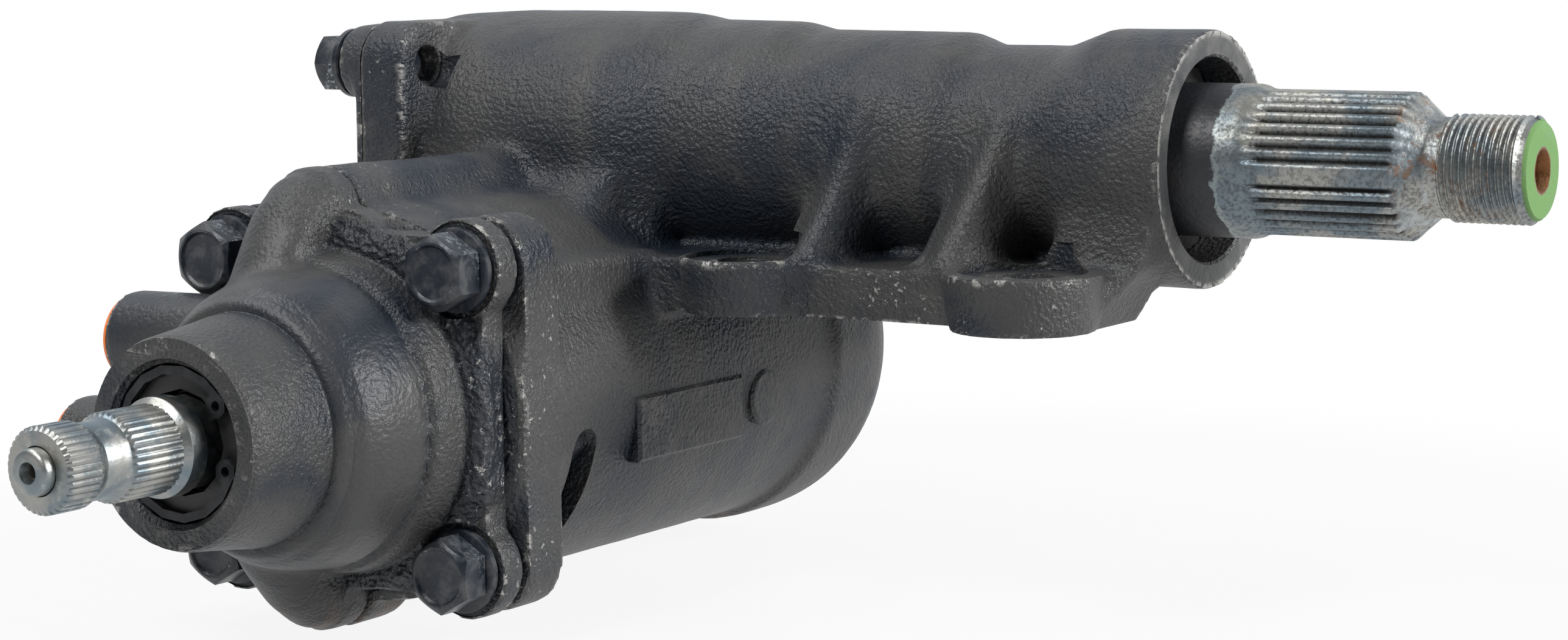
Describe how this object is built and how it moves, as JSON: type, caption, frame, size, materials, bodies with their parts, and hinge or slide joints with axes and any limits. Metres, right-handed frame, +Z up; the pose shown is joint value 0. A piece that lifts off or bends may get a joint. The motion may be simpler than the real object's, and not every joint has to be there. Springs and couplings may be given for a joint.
{
  "type": "steering gearbox",
  "caption": "Black cast-iron recirculating-ball steering gearbox with a serrated input shaft and a long splined, threaded output shaft.",
  "frame": {"origin": "centre of the machined mounting face under the sector tube", "axes": "+X along the sector shaft towards its splined end, +Y along the worm away from the input shaft, +Z up from the mounting face"},
  "size_m": [0.2907, 0.2497, 0.1303],
  "materials": {
    "casting": "satin",
    "bare_steel": "satin",
    "hard_steel": "gloss",
    "black_bolts": "satin",
    "seal": "matte",
    "plastic_rings": "satin",
    "gasket": "matte",
    "orange_plastic": "satin"
  },
  "bodies": {
    "housing": {"gear_housing": "casting", "valve_housing": "casting", "side_cover": "casting", "side_cover_gasket": "gasket", "housing_o_ring": "seal", "adjusting_screw": "hard_steel", "adjuster_lock_nut": "hard_steel", "cover_needle_bearing": "hard_steel", "inner_needle_bearing": "hard_steel", "outer_needle_bearing": "hard_steel", "sector_oil_seal": "seal", "sector_backup_washer": "hard_steel", "sector_dust_seal": "seal", "worm_bearing_outer_race": "hard_steel", "worm_bearing_cage": "hard_steel", "worm_bearing_retainer": "hard_steel", "input_needle_bearing": "hard_steel", "input_oil_seal": "seal", "input_circlip": "black_bolts", "valve_bolt_1": "black_bolts", "valve_bolt_2": "black_bolts", "valve_bolt_3": "black_bolts", "valve_bolt_4": "black_bolts", "valve_bolt_washer_1": "black_bolts", "valve_bolt_washer_2": "black_bolts", "valve_bolt_washer_3": "black_bolts", "valve_bolt_washer_4": "black_bolts", "cover_bolt_1": "black_bolts", "cover_bolt_2": "black_bolts", "cover_bolt_3": "black_bolts", "cover_bolt_4": "black_bolts", "cover_bolt_washer_1": "black_bolts", "cover_bolt_washer_2": "black_bolts", "cover_bolt_washer_3": "black_bolts", "cover_bolt_washer_4": "black_bolts", "port_plug_1": "orange_plastic", "port_plug_2": "orange_plastic"},
    "sector": {"sector_shaft": "bare_steel"},
    "piston": {"piston_nut": "hard_steel", "piston_ring": "plastic_rings", "ball_train": "hard_steel", "ball_return_tube": "hard_steel", "return_tube_clamp": "hard_steel"},
    "worm": {"worm_screw": "hard_steel", "worm_bearing_inner_race": "hard_steel", "valve_sleeve": "hard_steel", "sleeve_ring_1": "plastic_rings", "sleeve_ring_2": "plastic_rings", "sleeve_ring_3": "plastic_rings", "sleeve_ring_4": "plastic_rings", "worm_pin": "hard_steel"},
    "input": {"input_shaft": "bare_steel", "torsion_bar": "bare_steel", "input_pin": "hard_steel"}
  },
  "joints": [
    {"name": "sector_turn", "type": "hinge", "parent": "housing", "child": "sector", "pos_m": [-0.088, 0, 0.033], "axis": [1, 0, 0], "range_deg": [-36, 36]},
    {"name": "piston_slide", "type": "slide", "parent": "housing", "child": "piston", "axis": [0, 1, 0], "range_m": [-0.0152, 0.0152]},
    {"name": "worm_turn", "type": "hinge", "parent": "housing", "child": "worm", "pos_m": [-0.088, 0, -0.018], "axis": [0, 1, 0], "range_deg": [-572, 572]},
    {"name": "valve_twist", "type": "hinge", "parent": "worm", "child": "input", "pos_m": [-0.088, 0, -0.018], "axis": [0, 1, 0], "range_deg": [-4, 4], "stiffness_Nm_per_rad": 65}
  ],
  "couplings": [
    {"joint": "piston_slide", "follows": "sector_turn", "m_per_rad": 0.024},
    {"joint": "worm_turn", "follows": "sector_turn", "ratio": -15.873}
  ]
}
